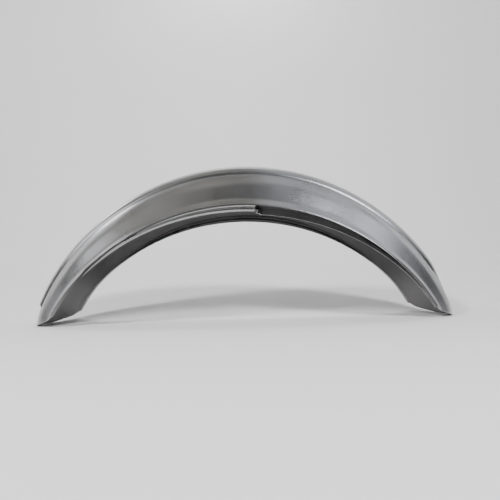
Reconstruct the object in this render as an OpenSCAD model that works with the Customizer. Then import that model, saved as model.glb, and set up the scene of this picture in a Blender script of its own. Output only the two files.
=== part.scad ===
// Motorcycle rear fender, pressed from one steel sheet.
// It stands on its two ends as an arch, with the length along X, the width along Y and the top at +Z.
// The side at -Y is the chain side: past the top of the arch its lower lip is pressed inwards.
// The origin is on the ground, midway between the two ends and midway across the width.

/* [Arch] */
// Outer radius over the centre rib at the top, about the wheel's centre
crown_r = 340.5; // [300:0.5:400]
// Angle of the whole arch, end to end
arch_angle = 142.4; // [120:0.4:150]
// How far both ends are tucked in towards the wheel
end_tuck = 3.4; // [0:0.2:8]
// Angle before each end over which it is tucked in
tuck_run = 19; // [10:1:24]
// Angle from the middle to the place where the section is deepest
deepest_at = 1; // [-3:0.5:3]
// Thickness of the sheet
sheet_t = 2; // [1.6:0.1:2.4]
// How far the corners of the rounded ends are drawn back from the middle of the end
end_round = 31.5; // [20:0.5:45]

/* [Section] */
// Width between the two ridges that run above the lips
ridge_w = 140.8; // [130:0.2:160]
// Radius of the round top across the width
top_r = 58; // [56:1:62]
// Slope of the side walls against level
wall_slope = 60; // [57:1:64]
// Slope of the flared foot of each wall, at the ridge
foot_slope = 46; // [40:1:52]
// Radius of the hollow curve between a wall and its flared foot
foot_r = 16; // [12:1:20]
// Depth of the ridge below the sheet's top line, where the section is deepest
ridge_drop = 61.5; // [58:0.5:66]
// Depth of the ridge below the sheet's top line, at the two ends
ridge_drop_end = 30.4; // [27:0.2:36]

/* [Centre rib] */
// Width of the raised rib at the middle of the arch
rib_w = 70; // [50:1:78]
// Width of the raised rib at its two ends
rib_end_w = 56; // [44:1:64]
// Height of the rib above the sheet beside it
rib_h = 4.9; // [3:0.1:6.5]
// Height of the rib towards its two ends
rib_end_h = 4.4; // [2:0.1:6]
// Width of each rounded shoulder of the rib
rib_shoulder = 12; // [8:1:16]
// Angle between the rib's blunt end and the rear end of the arch
rib_rear_gap = 4.5; // [3:0.5:8]
// Angle between the rib's fading end and the front end of the arch
rib_front_gap = 6.5; // [4:0.5:9]

/* [Lips] */
// Radius of the rolled bead along each lower edge
bead_r = 3.8; // [3:0.1:4.5]
// Height of a lip below its ridge, at the middle of the arch
lip_h = 11.6; // [10:0.1:14]
// How far the bead's centre stands out past the ridge
bead_out = 0.8; // [0:0.1:1.5]
// Depth of the groove between the ridge and the bead
groove = 0.8; // [0.4:0.1:1.2]

/* [Chain clearance] */
// Angle past the top of the arch at which the chain side lip steps in
chain_start = 3.7; // [1:0.1:10]
// Angle over which the lip's lower edge runs over to its inner line
chain_run = 3.5; // [3:0.5:8]
// How far the chain side lip is pressed in
chain_in = 18; // [10:0.5:22]

/* [Hidden] */
// Half of the arch's angle and half of the width over the ridges
half = arch_angle / 2;
ridge_y = ridge_w / 2;
// Angle over which the rib's blunt rear end falls, and its front end fades
blunt_run = 0.8;
fade_run = 9;
// Angle over which the chain side bead is cut off, and its lip's upper part steps in
cut_run = 0.4;
upper_run = 1.4;
// Smallest share of the lip that is left at the ends
lip_end = 0.06;
// How fast the lip gets lower towards the ends
lip_fall = 2.2;

function clamp(x) = min(1, max(0, x));
function smooth(a, b, x) = let (t = clamp((x - a) / (b - a))) t * t * (3 - 2 * t);
function mix(a, b, t) = a + (b - a) * t;
function steps(a, b, n) = [for (i = [0 : n - 1]) mix(a, b, i / n)];

// Share of the way from the middle of the arch to its ends, measured by height
function toward_end(a) = clamp((1 - cos(a - deepest_at)) / (1 - cos(half)));
// Radius of the sheet's own top line, beside the rib
function tuck(a) = clamp((abs(a) - half + tuck_run) / tuck_run);
function sheet_r(a) = crown_r - rib_h - end_tuck * tuck(a) * tuck(a);
// How much flatter the section is at an angle than at the middle
function flatten(a) = mix(1, ridge_drop_end / ridge_drop, toward_end(a));
// Share of the full lip that stands at an angle
function lip_share(a) = mix(lip_end, 1, pow(1 - toward_end(a), lip_fall));
// Distance by which the rounded end is drawn back, at a place across the width
end_shape = 3.3;
function corner_cut(y) = end_round * pow(min(abs(y), ridge_y) / ridge_y, end_shape);
// Angle of the end at a place across the width, as a share of the whole arch
function reach(y) = 1 - corner_cut(y) / (crown_r * half * PI / 180);

// The section beside the rib: a round top, a straight wall and a hollow curve out to the ridge.
// Each point is [across, below the top, slope].
function top_point(s) = [top_r * sin(s), top_r * (1 - cos(s)), s];
wall_top = top_point(wall_slope);
foot_across = foot_r * (sin(wall_slope) - sin(foot_slope));
foot_down = foot_r * (cos(foot_slope) - cos(wall_slope));
flare_down = 3;
flare_across = flare_down / tan(foot_slope);
wall_down = ridge_drop - wall_top[1] - foot_down - flare_down;
wall_across = ridge_y - wall_top[0] - foot_across - flare_across;
foot_top = [wall_top[0] + wall_across, wall_top[1] + wall_down];
function foot_point(s) = [
    foot_top[0] + foot_r * (sin(wall_slope) - sin(s)),
    foot_top[1] + foot_r * (cos(s) - cos(wall_slope)), s];

// Width and height of the rib at an angle
function rib_half(a) = mix(rib_w, rib_end_w, toward_end(a)) / 2;
function rib_rise(a) =
    mix(rib_h, rib_end_h, toward_end(a))
    * smooth(-half + rib_rear_gap, -half + rib_rear_gap + blunt_run, a)
    * (1 - smooth(half - rib_front_gap - fade_run, half - rib_front_gap, a));
// Share of the rib's height: flat on top, falling round to a sharp foot
function rib_share(y, edge) =
    let (t = clamp((y - edge + rib_shoulder) / rib_shoulder)) sqrt(max(0, 1 - t * t));

// Points across one side from the middle to the ridge at an angle: [across, below, slope, share of rib]
rib_parts = [0, 0.35, 0.7];
shoulder_parts = [0, 0.45, 0.75, 0.93, 1];
function body_points(a) =
    let (edge = rib_half(a), foot_s = asin(edge / top_r))
    concat(
        [for (f = rib_parts) let (y = f * (edge - rib_shoulder)) top_point(asin(y / top_r))],
        [for (f = shoulder_parts) let (y = edge - rib_shoulder * (1 - f)) top_point(asin(y / top_r))],
        [for (i = [1 : 6]) top_point(mix(foot_s, wall_slope, i / 6))],
        [for (i = [1 : 2]) [
            mix(wall_top[0], foot_top[0], i / 2), mix(wall_top[1], foot_top[1], i / 2), wall_slope]],
        [for (i = [1 : 3]) foot_point(mix(wall_slope, foot_slope, i / 3))],
        [[ridge_y, ridge_drop, foot_slope]]);

// The same points on the flattened section at an angle, on the outer face or a sheet's thickness inside it
function flat_slope(s, a) = atan(flatten(a) * tan(s));
function outer_body(a) = [for (p = body_points(a))
    let (s = flat_slope(p[2], a), rise = rib_rise(a) * rib_share(p[0], rib_half(a)))
    [p[0] + rise * sin(s), p[1] * flatten(a) - rise * cos(s)]];
function inner_body(a) =
    let (pts = body_points(a), last = len(pts) - 1)
    [for (i = [0 : last - 1]) let (p = pts[i], s = flat_slope(p[2], a),
        rise = rib_rise(a) * rib_share(p[0] + sheet_t / 2, rib_half(a)) - sheet_t)
    [p[0] + rise * sin(s), p[1] * flatten(a) - rise * cos(s)]];

// Lip with a rolled bead, from just below the ridge round to the inside: offsets from the ridge
bead_turn = 8;
function bead_lip(a) =
    let (
        k = lip_share(a),
        r = max(sheet_t / 2, bead_r * k),
        cy = mix(-sheet_t / 2, bead_out, k),
        cz = mix(1.8, lip_h - bead_r, k),
        last = mix(180, 224, k),
        s = flat_slope(foot_slope, a))
    concat(
        [[0.2 * k, 1 * k], [-groove * k, 3.4 * k]],
        [for (i = [0 : bead_turn - 1]) let (t = mix(-70, last, i / (bead_turn - 1)))
            [cy + r * cos(t), cz + r * sin(t)]],
        [[-sheet_t, sheet_t * (1 / cos(s) - tan(s))]]);

// Lip pressed in for the chain, with as many points
function chain_lip(a) =
    let (
        k = lip_share(a),
        e = mix(2.8, lip_h + 1, k),
        lower = chain_in * k * smooth(chain_start, chain_start + chain_run, a),
        upper = chain_in * k * smooth(chain_start, chain_start + upper_run, a),
        t = sheet_t,
        fold = clamp(upper / 8))
    [
        [0, 0.6 * k],
        [-upper / 2, mix(0.8, 2.6, k)],
        [-upper, mix(1, 4.4, k)],
        [-lower, mix(1.4, 7, k)],
        [-lower, e - 0.7],
        [-lower - t * 0.3, e],
        [-lower - t * 0.7, e],
        [-lower - t, e - 0.7],
        [-lower - t, mix(1.4, 6.6, k)],
        [-upper - t, mix(1.2, 3.4, k)],
        [-mix(t, t * 1.9, fold), mix(t * 0.47, -t * 0.25, fold)]
    ];
function lip_points(a, side) =
    side > 0 || a <= chain_start ? bead_lip(a)
    : let (w = clamp((a - chain_start) / cut_run), b = bead_lip(a), c = chain_lip(a))
      [for (i = [0 : len(b) - 1]) b[i] * (1 - w) + c[i] * w];

// One side's points, outer face down to the lip and back up inside: [across, below]
function side_outer(a, side) =
    let (drop = ridge_drop * flatten(a))
    concat(outer_body(a), [for (p = lip_points(a, side)) [ridge_y + p[0], drop + p[1]]]);
function reversed(l) = [for (i = [len(l) - 1 : -1 : 0]) l[i]];
function without_first(l) = [for (i = [1 : len(l) - 1]) l[i]];
function mirrored(l) = [for (p = l) [-p[0], p[1]]];

// The closed section at an angle: far side out and back inside, then near side inside and back out
function section(a) = concat(
    side_outer(a, 1),
    reversed(inner_body(a)),
    mirrored(without_first(inner_body(a))),
    mirrored(reversed(without_first(side_outer(a, -1)))));

// A ring of points round the sheet at an angle of the top line; towards the edges it is drawn back
function ring(a) =
    let (flat = section(a))
    [for (i = [0 : len(flat) - 1])
        let (
            own = a * reach(flat[i][0]),
            p = own == a ? flat[i] : section(own)[i],
            r = sheet_r(own) - p[1])
        [r * sin(own), p[0], r * cos(own)]];

// Faces that close an end: a strip between the outer and inner face, then the tip of each lip.
// The number of points across one side, the middle and the first point inside follow the section's order.
across = len(inner_body(0));
lip_count = len(bead_lip(0));
inside = 2 * across + lip_count;
function far_out(i) = i;
function far_in(i) = inside - i;
function near_in(i) = inside + i;
function near_out(i, n) = i == 0 ? 0 : n - i;
function end_faces(n) = concat(
    [for (i = [0 : across - 2]) [far_out(i), far_out(i + 1), far_in(i + 1), far_in(i)]],
    [for (i = [0 : across - 2]) [near_in(i), near_in(i + 1), near_out(i + 1, n), near_out(i, n)]],
    [[for (i = [far_out(across - 1) : far_in(across - 1)]) i]],
    [[for (i = [near_in(across - 1) : near_out(across - 1, n)]) i]]);

// Angles of the rings, closer together where the rib ends and where the lip steps in
rear_rib = -half + rib_rear_gap;
front_rib = half - rib_front_gap;
angles = concat(
    steps(-half, rear_rib, 2),
    steps(rear_rib, rear_rib + blunt_run, 2),
    steps(rear_rib + blunt_run, chain_start, 27),
    steps(chain_start, chain_start + cut_run, 1),
    steps(chain_start + cut_run, chain_start + chain_run, 5),
    steps(chain_start + chain_run, front_rib - fade_run, 18),
    steps(front_rib - fade_run, front_rib, 4),
    steps(front_rib, half, 2),
    [half]);

module fender() {
    rings = [for (a = angles) ring(a)];
    n = len(rings[0]);
    m = len(rings);
    ground = min([for (p = concat(rings[0], rings[m - 1])) p[2]]);
    points = [for (r = rings) for (p = r) p];
    sides = [for (j = [0 : m - 2]) for (i = [0 : n - 1])
        let (i2 = (i + 1) % n, b = j * n, c = (j + 1) * n)
        each [[b + i, b + i2, c + i2], [b + i, c + i2, c + i]]];
    front_cap = [for (f = end_faces(n)) [for (i = f) (m - 1) * n + i]];
    rear_cap = [for (f = end_faces(n)) reversed(f)];
    color("silver")
        translate([0, 0, -ground])
            polyhedron(points, concat(sides, rear_cap, front_cap), convexity = 10);
}

fender();
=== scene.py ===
import math

import bmesh
import bpy
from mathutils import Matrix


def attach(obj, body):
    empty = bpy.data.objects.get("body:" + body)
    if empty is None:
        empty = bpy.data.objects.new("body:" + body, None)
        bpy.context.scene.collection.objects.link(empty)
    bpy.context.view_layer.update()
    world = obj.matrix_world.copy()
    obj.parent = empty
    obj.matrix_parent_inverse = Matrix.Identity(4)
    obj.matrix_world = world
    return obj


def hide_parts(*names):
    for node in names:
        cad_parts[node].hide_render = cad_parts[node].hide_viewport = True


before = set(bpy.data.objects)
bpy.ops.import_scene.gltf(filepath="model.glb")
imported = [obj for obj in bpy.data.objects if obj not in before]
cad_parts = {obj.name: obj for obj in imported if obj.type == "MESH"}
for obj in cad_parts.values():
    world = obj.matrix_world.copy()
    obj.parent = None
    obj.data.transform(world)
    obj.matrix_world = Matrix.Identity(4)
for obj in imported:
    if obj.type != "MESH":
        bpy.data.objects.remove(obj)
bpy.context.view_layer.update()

# The pressed sheet.
# One strip of 2 mm steel is cut flat, drawn round over an arched die and stays one piece: a round top
# with a raised centre rib, straight side walls, and a flared foot that ends in a ridge over each lip.

# Sizes in millimetres, and angles in degrees from the top of the arch, below 0 towards the rear end
arch_half = 71.04
crown_radius = 340.4
end_tuck = 3.4
tuck_run = 19.0
tip_roll = 3.0
tip_roll_run = 4.0
deepest_at = 1.0
sheet_thickness = 2.0
end_round = 31.5
end_shape = 3.8
ridge_from_middle = 70.4
top_radius = 58.0
wall_slope = 62.8
foot_slope = 46.0
foot_radius = 28.0
flare_down = 4.5
ridge_depth = 61.5
ridge_depth_at_ends = 30.4
rib_width = 70.0
rib_width_at_ends = 56.0
rib_height = 4.9
rib_height_at_ends = 4.4
rib_shoulder = 11.0
rib_shoulder_fall = 0.7
rib_rear_gap = 4.5
rib_blunt_run = 0.8
rib_front_gap = 6.5
rib_fade_run = 9.0


def held(value):
    return min(1.0, max(0.0, value))


def eased(start, stop, value):
    share = held((value - start) / (stop - start))
    return share * share * (3 - 2 * share)


def between(first, last, share):
    return first + (last - first) * share


def sin_of(degrees):
    return math.sin(math.radians(degrees))


def cos_of(degrees):
    return math.cos(math.radians(degrees))


def toward_end(angle):
    # Share of the way from the deepest section to the shallow ones at the ends, by height
    return held((1 - cos_of(angle - deepest_at)) / (1 - cos_of(arch_half)))


def flattening(angle):
    return between(1, ridge_depth_at_ends / ridge_depth, toward_end(angle))


def flat_slope(slope, angle):
    return math.degrees(math.atan(flattening(angle) * math.tan(math.radians(slope))))


def sheet_radius(angle):
    # Radius of the sheet's top line beside the rib, with its ends tucked in and their tips rolled in
    tuck = held((abs(angle) - arch_half + tuck_run) / tuck_run)
    roll = held((abs(angle) - arch_half + tip_roll_run) / tip_roll_run)
    return crown_radius - rib_height - end_tuck * tuck ** 2 - tip_roll * roll ** 2


def rib_rise(angle):
    # The rib ends bluntly at the rear and fades out at the front
    rise = between(rib_height, rib_height_at_ends, toward_end(angle))
    rear = -arch_half + rib_rear_gap
    front = arch_half - rib_front_gap
    rise *= eased(rear, rear + rib_blunt_run, angle)
    return rise * (1 - eased(front - rib_fade_run, front, angle))


def round_top(slope):
    return top_radius * sin_of(slope), top_radius * (1 - cos_of(slope))


# The wall runs from the round top to the hollow foot, as points across and below the top line
flare_across = flare_down / math.tan(math.radians(foot_slope))
foot_across = foot_radius * (sin_of(wall_slope) - sin_of(foot_slope))
foot_down = foot_radius * (cos_of(foot_slope) - cos_of(wall_slope))
wall_top = round_top(wall_slope)
wall_foot = (ridge_from_middle - flare_across - foot_across, ridge_depth - flare_down - foot_down)


def body_point(form, share, angle):
    # A point of the outer skin between the middle and the ridge: across, below the top line
    rise = 0.0
    edge = between(rib_width, rib_width_at_ends, toward_end(angle)) / 2
    if form in ("crown", "shoulder"):
        if form == "crown":
            across = share * (edge - rib_shoulder)
            height = 1.0
        else:
            across = edge - rib_shoulder * (1 - share)
            height = (1 - share ** 2) ** rib_shoulder_fall
        slope = math.degrees(math.asin(across / top_radius))
        across, below = round_top(slope)
        rise = rib_rise(angle) * height
    elif form == "round":
        slope = between(math.degrees(math.asin(edge / top_radius)), wall_slope, share)
        across, below = round_top(slope)
    elif form == "wall":
        slope = wall_slope
        across = between(wall_top[0], wall_foot[0], share)
        below = between(wall_top[1], wall_foot[1], share)
    else:
        slope = between(wall_slope, foot_slope, share)
        across = wall_foot[0] + foot_radius * (sin_of(wall_slope) - sin_of(slope))
        below = wall_foot[1] + foot_radius * (cos_of(slope) - cos_of(wall_slope))
    slope = flat_slope(slope, angle)
    return across + rise * sin_of(slope), below * flattening(angle) - rise * cos_of(slope)


# The lips.
# Below each ridge the sheet turns down into a narrow groove and is rolled into a round bead. On the
# chain side the bead is cut off just past the top, and from there the plain lip is pressed inwards.
fold_radius = 3.4
lip_height = 11.6
lip_blend = 0.2
least_drop = 0.02
bead_radius = 3.7
bead_radius_at_ends = 2.2
bead_out = 0.8
bead_out_at_ends = -2.2
bead_down_at_ends = 1.2
bead_starts = -112
bead_starts_at_ends = -5
bead_stops = 196
bead_stops_at_ends = 50
groove_depth = 0.5
groove_share = 0.25
groove_hollow = 0.8
groove_meets_bead = 0.9
chain_start = 3.7
chain_cut_run = 0.4
chain_upper_run = 0.7
chain_lower_wait = 0.9
chain_run = 2.6
chain_in = 18.0
chain_lip_at_ends = 0.06
chain_edge_at_ends = 2.8
chain_edge_past_bead = 0.9
chain_upright_at_ends = 1.7

# The pressed lip from the ridge down to the top of its upright edge. Each point has its share of the
# pressing, how far it follows the lower line instead of the upper one, and its drop at the ends and
# at the top of the arch.
chain_profile = [
    (0, 0, 0.2, 0.2), (0.25, 0, 0.4, 1.4), (0.5, 0, 0.6, 2.3), (0.75, 0, 0.8, 3.2),
    (0.93, 0, 0.9, 3.9), (1, 0.15, 1.2, 4.7), (1, 0.6, 1.4, 6.0), (1, 1, chain_upright_at_ends, 7.4)]


def lip_share(angle):
    return (1 - toward_end(angle)) ** 2


def along(points, share):
    # A point at a share of the way along a line of points, by the points' number
    place = held(share) * (len(points) - 1)
    first = min(int(place), len(points) - 2)
    rest = place - first
    (x0, y0), (x1, y1) = points[first], points[first + 1]
    return between(x0, x1, rest), between(y0, y1, rest)


def beaded_lip(share, angle):
    # Out and down from the ridge: first the groove, then round the bead
    full = lip_share(angle)
    radius = between(bead_radius_at_ends, bead_radius, full)
    centre_out = between(bead_out_at_ends, bead_out, full)
    centre_down = between(bead_down_at_ends, lip_height - bead_radius, full)
    if share < groove_share:
        part = share / groove_share
        return (-groove_depth * full * eased(0, groove_hollow, part),
                between(0, centre_down - groove_meets_bead * radius, part))
    part = (share - groove_share) / (1 - groove_share)
    start = between(bead_starts_at_ends, bead_starts, full)
    stop = between(bead_stops_at_ends, bead_stops, full)
    turn = between(start, stop, part)
    return centre_out + radius * cos_of(turn), centre_down + radius * sin_of(turn)


def chain_lip(share, angle):
    # Out and down from the ridge: pressed in soon at the upper line, and a little later at the edge
    full = between(chain_lip_at_ends, 1, lip_share(angle))
    upper = chain_in * full * eased(chain_start, chain_start + chain_upper_run, angle)
    lower = chain_in * full * eased(chain_start + chain_lower_wait, chain_start + chain_run, angle)
    edge = between(chain_edge_at_ends, lip_height + chain_edge_past_bead, full)
    points = [
        (-between(upper, lower, follows) * pressed, between(at_ends, at_top, full))
        for pressed, follows, at_ends, at_top in chain_profile]
    points.append((-lower, between(chain_upright_at_ends, edge, 0.5 * full + 0.2)))
    points.append((-lower, edge))
    return along(points, share)


def ridge_fold(share, angle):
    slope = flat_slope(foot_slope, angle)
    run = fold_radius * (1 - sin_of(slope)) / cos_of(slope)
    down = -run * sin_of(slope) - fold_radius * (1 - cos_of(slope))
    turn = between(slope, 90, share)
    return -fold_radius * (1 - sin_of(turn)), down + fold_radius * (1 - cos_of(turn))


def skin_point(form, share, angle, chain_side):
    if form not in ("ridge", "lip"):
        return body_point(form, share, angle)
    if form == "ridge":
        out, down = ridge_fold(share, angle)
    else:
        start = ridge_fold(1, angle)[1]
        out, down = beaded_lip(share, angle)
        if chain_side and angle > chain_start:
            pressed = held((angle - chain_start) / chain_cut_run)
            plain = chain_lip(share, angle)
            out, down = between(out, plain[0], pressed), between(down, plain[1], pressed)
        down = between(start + least_drop, down, eased(0, lip_blend, share))
    return ridge_from_middle + out, ridge_depth * flattening(angle) + down


def end_share(across):
    # The rounded ends are drawn back at the sides: the share of the arch left at a place across
    cut = end_round * (min(across, ridge_from_middle) / ridge_from_middle) ** end_shape
    return 1 - cut / (crown_radius * math.radians(arch_half))


# The blank's rows of points across one side: for each form its first and last row, out of its steps
form_rows = [
    ("crown", 0, 4, 5), ("shoulder", 0, 10, 10), ("round", 1, 6, 7), ("wall", 0, 5, 6),
    ("foot", 0, 5, 5), ("ridge", 0, 4, 4), ("lip", 1, 22, 22)]
places = [
    (form, row / steps) for form, first, last, steps in form_rows for row in range(first, last + 1)]

# Its rows along the arch: where each stretch starts and its number of rows, closer together where
# the rib ends and where the chain side's lip steps in
rear_rib = -arch_half + rib_rear_gap
front_rib = arch_half - rib_front_gap
step_lead = 0.4
stretches = [
    (-arch_half, 6), (rear_rib, 10), (rear_rib + rib_blunt_run, 110), (chain_start - step_lead, 3),
    (chain_start, 6), (chain_start + chain_cut_run, 26), (chain_start + chain_run, 80),
    (front_rib - rib_fade_run, 18), (front_rib, 10)]
angles = []
for (start, count), stop in zip(stretches, [stretch[0] for stretch in stretches[1:]] + [arch_half]):
    angles += [between(start, stop, row / count) for row in range(count)]
angles.append(arch_half)

# The flat blank, with a grain map in metres along the arch and across the strip
bpy.ops.object.select_all(action="DESELECT")
bpy.ops.mesh.primitive_grid_add(
    x_subdivisions=len(angles) - 1, y_subdivisions=2 * len(places) - 2, size=1, calc_uvs=True)
fender_sheet = bpy.context.object
fender_sheet.name = "fender_sheet"
blank = fender_sheet.data
grain_map = blank.uv_layers[0]
grain_map.name = "along_and_across"
grain_half_width = 0.12

# A dark base colour of painted shade goes under the bead and, on the chain side, on the pressed-in lip
# but not on the stub of its edge beside the step
under_bead = 0.6
stub_edge = 0.75


# Where the dark painted shade goes
def gets_painted_shade(form, share, angle, chain_side):
    if form != "lip":
        return False
    if chain_side and angle > chain_start:
        return share < stub_edge or angle > chain_start + chain_lower_wait
    return share > under_bead


# Each point of the blank is pressed to its place on the die, in metres
middle = len(places) - 1
grain_place = []
painted_shade_corners = set()
for vertex in blank.vertices:
    row = round((vertex.co.x + 0.5) * (len(angles) - 1))
    column = round((vertex.co.y + 0.5) * 2 * middle)
    chain_side = column < middle
    form, share = places[abs(column - middle)]
    across = skin_point(form, share, angles[row], chain_side)[0]
    own_angle = angles[row] * end_share(across)
    across, below = skin_point(form, share, own_angle, chain_side)
    radius = sheet_radius(own_angle) - below
    vertex.co = (
        radius * sin_of(own_angle) / 1000,
        (-across if chain_side else across) / 1000,
        radius * cos_of(own_angle) / 1000)
    grain_place.append((
        math.radians(own_angle) * crown_radius / 1000, (column - middle) / middle * grain_half_width))
    # These corners get the painted shade
    if gets_painted_shade(form, share, own_angle, chain_side):
        painted_shade_corners.add(vertex.index)
for loop in blank.loops:
    grain_map.data[loop.index].uv = grain_place[loop.vertex_index]

bpy.ops.object.mode_set(mode="EDIT")
bpy.ops.mesh.select_all(action="SELECT")
bpy.ops.mesh.normals_make_consistent(inside=False)
bpy.ops.object.mode_set(mode="OBJECT")
top_normal = max(blank.polygons, key=lambda face: face.center.z).normal
if top_normal.z < 0:
    blank.flip_normals()

# The first slot is the bare outer skin, the second the dark painted shade, which the sheet's inner
# face has too
bpy.ops.object.material_slot_add()
bpy.ops.object.material_slot_add()
for face in blank.polygons:
    face.material_index = 1 if all(corner in painted_shade_corners for corner in face.vertices) else 0
wall = fender_sheet.modifiers.new("sheet", "SOLIDIFY")
wall.thickness = sheet_thickness / 1000
wall.offset = -1
wall.use_even_offset = False
wall.material_offset = 1
wall.material_offset_rim = -1
bpy.ops.object.modifier_apply(modifier="sheet")

# The cut edges are broken, and the sheet is set down on the ground
broken_edge = 0.35
cut_edge_angle = 62
smooth_up_to = 38
rim = fender_sheet.modifiers.new("broken_edges", "BEVEL")
rim.width = broken_edge / 1000
rim.segments = 2
rim.limit_method = "ANGLE"
rim.angle_limit = math.radians(cut_edge_angle)
bpy.ops.object.modifier_apply(modifier="broken_edges")
bpy.ops.object.shade_smooth_by_angle(angle=math.radians(smooth_up_to))
ground = min(vertex.co.z for vertex in blank.vertices)
for vertex in blank.vertices:
    vertex.co.z -= ground

# The outer finish.
# Bare satin steel as it comes off the press and the belt, with fine draw lines along the arch, a
# fine grain and a faint cloudy film of oil.
steel_under_oil = (0.41, 0.407, 0.398, 1)
steel_clean = (0.48, 0.48, 0.488, 1)
bare_steel = bpy.data.materials.new("bare_pressed_steel")
bare_steel.use_nodes = True
nodes = bare_steel.node_tree.nodes
links = bare_steel.node_tree.links
steel = nodes["Principled BSDF"]
steel.inputs["Metallic"].default_value = 1.0

sheet_map = nodes.new("ShaderNodeUVMap")
sheet_map.name = "sheet_map"
sheet_map.uv_map = "along_and_across"
place_on = nodes.new("ShaderNodeTexCoord")

draw_stretch = nodes.new("ShaderNodeMapping")
draw_stretch.inputs["Scale"].default_value = (14, 900, 1)
links.new(sheet_map.outputs["UV"], draw_stretch.inputs["Vector"])
draw_lines = nodes.new("ShaderNodeTexNoise")
draw_lines.inputs["Scale"].default_value = 1.0
draw_lines.inputs["Detail"].default_value = 5.0
links.new(draw_stretch.outputs["Vector"], draw_lines.inputs["Vector"])

film = nodes.new("ShaderNodeTexNoise")
film.inputs["Scale"].default_value = 16.0
film.inputs["Detail"].default_value = 4.0
film.inputs["Roughness"].default_value = 0.55
links.new(place_on.outputs["Object"], film.inputs["Vector"])

grain = nodes.new("ShaderNodeTexNoise")
grain.inputs["Scale"].default_value = 1400.0
grain.inputs["Detail"].default_value = 3.0
links.new(place_on.outputs["Object"], grain.inputs["Vector"])

tone = nodes.new("ShaderNodeValToRGB")
tone.name = "tone"
tone.color_ramp.elements[0].position = 0.3
tone.color_ramp.elements[0].color = steel_under_oil
tone.color_ramp.elements[1].position = 0.72
tone.color_ramp.elements[1].color = steel_clean
links.new(film.outputs["Fac"], tone.inputs["Fac"])
links.new(tone.outputs["Color"], steel.inputs["Base Color"])

# The film makes the steel rougher in soft clouds, and the draw lines add a little to that
rough_film = nodes.new("ShaderNodeMapRange")
rough_film.name = "rough_film"
rough_film.inputs["From Min"].default_value = 0.3
rough_film.inputs["From Max"].default_value = 0.7
rough_film.inputs["To Min"].default_value = 0.23
rough_film.inputs["To Max"].default_value = 0.31
links.new(film.outputs["Fac"], rough_film.inputs["Value"])
rough_lines = nodes.new("ShaderNodeMath")
rough_lines.operation = "MULTIPLY_ADD"
rough_lines.inputs[1].default_value = 0.05
links.new(draw_lines.outputs["Fac"], rough_lines.inputs[0])
links.new(rough_film.outputs["Result"], rough_lines.inputs[2])
links.new(rough_lines.outputs["Value"], steel.inputs["Roughness"])

line_bump = nodes.new("ShaderNodeBump")
line_bump.inputs["Strength"].default_value = 0.04
line_bump.inputs["Distance"].default_value = 0.0002
links.new(draw_lines.outputs["Fac"], line_bump.inputs["Height"])
grain_bump = nodes.new("ShaderNodeBump")
grain_bump.inputs["Strength"].default_value = 0.03
grain_bump.inputs["Distance"].default_value = 0.0001
links.new(grain.outputs["Fac"], grain_bump.inputs["Height"])
links.new(line_bump.outputs["Normal"], grain_bump.inputs["Normal"])
links.new(grain_bump.outputs["Normal"], steel.inputs["Normal"])

# The painted shade.
# Inside the arch, under the bead and in the pressed recess the sheet gets a dark base colour: painted
# shade.
# Towards both ends of the arch the painted shade is painted lighter: a painted reflection of the lit
# floor and lamps.
painted_shade_dark = (0.06, 0.059, 0.059, 1)
painted_shade_light = (0.1, 0.098, 0.1, 1)
# Painted reflection near the ends of the arch
painted_end_light = (0.3, 0.295, 0.295, 1)
end_light_from = 0.3
end_light_at = 0.41
# A darker, rougher copy of the steel carries the painted shade
shade_steel = bare_steel.copy()
shade_steel.name = "painted_shade_steel"
shade_nodes = shade_steel.node_tree.nodes
shade_links = shade_steel.node_tree.links
dull = shade_nodes["Principled BSDF"]
dull.inputs["Metallic"].default_value = 0.8
for element, colour in zip(shade_nodes["tone"].color_ramp.elements, (painted_shade_dark, painted_shade_light)):
    element.color = colour
arch_place = shade_nodes.new("ShaderNodeSeparateXYZ")
shade_links.new(shade_nodes["sheet_map"].outputs["UV"], arch_place.inputs["Vector"])
from_middle = shade_nodes.new("ShaderNodeMath")
from_middle.operation = "ABSOLUTE"
shade_links.new(arch_place.outputs["X"], from_middle.inputs[0])
# Painted reflection: lighter towards the ends of the arch
end_light_share = shade_nodes.new("ShaderNodeMapRange")
end_light_share.interpolation_type = "SMOOTHSTEP"
end_light_share.inputs["From Min"].default_value = end_light_from
end_light_share.inputs["From Max"].default_value = end_light_at
shade_links.new(from_middle.outputs["Value"], end_light_share.inputs["Value"])
end_light_mix = shade_nodes.new("ShaderNodeMix")
end_light_mix.data_type = "RGBA"
end_light_mix.inputs["B"].default_value = painted_end_light
shade_links.new(end_light_share.outputs["Result"], end_light_mix.inputs["Factor"])
shade_links.new(shade_nodes["tone"].outputs["Color"], end_light_mix.inputs["A"])
shade_links.new(end_light_mix.outputs["Result"], dull.inputs["Base Color"])
shade_nodes["rough_film"].inputs["To Min"].default_value = 0.4
shade_nodes["rough_film"].inputs["To Max"].default_value = 0.55

# The second slot holds the painted shade
fender_sheet.material_slots[0].material = bare_steel
fender_sheet.material_slots[1].material = shade_steel
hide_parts("fender")
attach(fender_sheet, "root")

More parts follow.
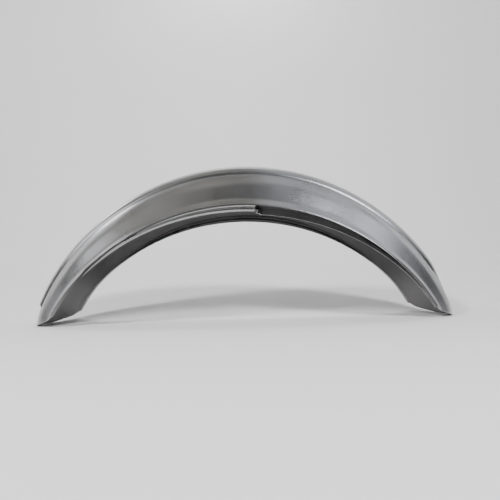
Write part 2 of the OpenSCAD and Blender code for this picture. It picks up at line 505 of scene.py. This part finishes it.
# The studio floor.
# A wide sheet of pale paper lies level under the part, rises gently from just behind its tips, so that
# the thrown shadows show, and then sweeps up into an upright background. Its sizes are in metres.
paper_half_width = 4.0
paper_front = -4.0
level_until = 0.03
ramp_tilt = 13.0
ramp_bends, ramp_bend_run, ramp_run = 5, 0.012, 0.25
sweep_bends, sweep_bend_run = 14, 0.055
upright_run = 2.0
paper_below_part = 0.0002
bpy.ops.object.select_all(action="DESELECT")
bpy.ops.mesh.primitive_plane_add(size=1, location=(0, 0, 0))
floor = bpy.context.object
floor.name = "pale_floor"
runs = [(ramp_bend_run, ramp_tilt * bend / ramp_bends) for bend in range(1, ramp_bends + 1)]
runs.append((ramp_run, ramp_tilt))
for bend in range(1, sweep_bends + 1):
    runs.append((sweep_bend_run, between(ramp_tilt, 90, bend / sweep_bends)))
runs.append((upright_run, 90))
sweep = [(paper_front, 0.0), (level_until, 0.0)]
for run, tilt in runs:
    y, z = sweep[-1]
    sweep.append((y + run * cos_of(tilt), z + run * sin_of(tilt)))
floor_mesh = bmesh.new()
left, right = [
    [floor_mesh.verts.new((x, y, z - paper_below_part)) for y, z in sweep]
    for x in (-paper_half_width, paper_half_width)]
for i in range(len(sweep) - 1):
    floor_mesh.faces.new([left[i], right[i], right[i + 1], left[i + 1]])
floor_mesh.to_mesh(floor.data)
floor_mesh.free()
bpy.ops.object.shade_smooth()
pale_paper = bpy.data.materials.new("pale_paper")
pale_paper.use_nodes = True
paper = pale_paper.node_tree.nodes["Principled BSDF"]
paper.inputs["Base Color"].default_value = (0.8, 0.8, 0.8, 1)
paper.inputs["Roughness"].default_value = 0.7
paper.inputs["Specular IOR Level"].default_value = 0.2
floor.data.materials.append(pale_paper)

# The lights.
# A strong soft box on each side in front and dim panels round and over the part, which only the steel
# mirrors, and three boxes that light the paper alone. The room itself is nearly dark.
room = bpy.data.worlds.new("dim_room")
room.use_nodes = True
room.node_tree.nodes["Background"].inputs["Color"].default_value = (1.0, 1.0, 1.0, 1)
room.node_tree.nodes["Background"].inputs["Strength"].default_value = 0.06
bpy.context.scene.world = room
aim_height = 0.1


def soft_box(name, bearing, rise, away, wide, high, glow, colour, shows_in="steel"):
    # Faces the part from a bearing round it, 0 in front and 90 on its right, and an angle of rise.
    # Glow is the brightness of its face, and its power is that of a face so bright and so large.
    bpy.ops.object.light_add(
        type="AREA",
        location=(
            away * cos_of(rise) * sin_of(bearing),
            -away * cos_of(rise) * cos_of(bearing),
            away * sin_of(rise) + aim_height),
        rotation=(math.radians(90 - rise), 0, math.radians(bearing)))
    lamp = bpy.context.object
    lamp.name = name
    lamp.data.shape = "RECTANGLE"
    lamp.data.size = wide
    lamp.data.size_y = high
    lamp.data.energy = glow * math.pi * wide * high
    lamp.data.color = colour
    lamp.visible_camera = False
    lamp.visible_glossy = shows_in == "steel"
    lamp.visible_diffuse = shows_in == "paper"


white = (1.0, 1.0, 1.0)
pale = (0.95, 0.96, 1.0)
cool = (0.9, 0.92, 1.0)
warm = (1.0, 0.98, 0.91)

# Name, bearing, rise, distance, width, height, glow, colour
soft_box("right_key", 37, 36, 1.8, 0.4, 0.76, 11.0, cool)
soft_box("right_strip", 74, 42, 1.8, 0.8, 0.38, 1.5, cool)
soft_box("right_panel", 70, 46, 1.9, 2.6, 1.4, 0.31, cool)
soft_box("right_high", 90, 66, 1.8, 0.95, 1.1, 0.68, cool)
soft_box("right_back", 132, 24, 1.8, 2.1, 1.5, 0.75, cool)
soft_box("left_key", -55, 30, 1.8, 1.2, 0.38, 4.6, pale)
soft_box("left_low", -107, 30, 1.8, 0.8, 1.15, 0.95, pale)
soft_box("left_high", -66, 60, 1.8, 1.25, 1.3, 0.33, warm)
soft_box("ceiling", 0, 84, 1.9, 1.0, 1.0, 0.27, warm)
soft_box("front_low", 0, 4, 2.2, 2.4, 0.35, 0.25, pale)
soft_box("left_back", -123, 37, 1.0, 0.24, 0.24, 5.5, pale)
soft_box("paper_right", 20, 37, 2.2, 0.3, 0.3, 150, white, "paper")
soft_box("paper_left", -40, 37, 2.2, 0.3, 0.3, 135, white, "paper")
soft_box("paper_back", 180, 62, 1.2, 0.35, 0.25, 14, white, "paper")

# The camera.
# It stands low in front of the middle, a little off level, as the photograph was taken. Its height is
# counted from the wheel's axis, about which the arch is drawn, in metres.
wheel_axis = -ground
camera_right = 0.00233
camera_back = 0.902
camera_above_axis = 0.168
looks_up, leans, looks_right = 2.79, 1.48, 0.396
bpy.ops.object.camera_add(
    location=(camera_right, -camera_back, wheel_axis + camera_above_axis),
    rotation=(math.radians(90 + looks_up), math.radians(leans), math.radians(-looks_right)))
camera = bpy.context.object
camera.name = "camera"
camera.data.sensor_width = 36
camera.data.lens = 42.26
camera.data.clip_start = 0.02
bpy.context.scene.camera = camera
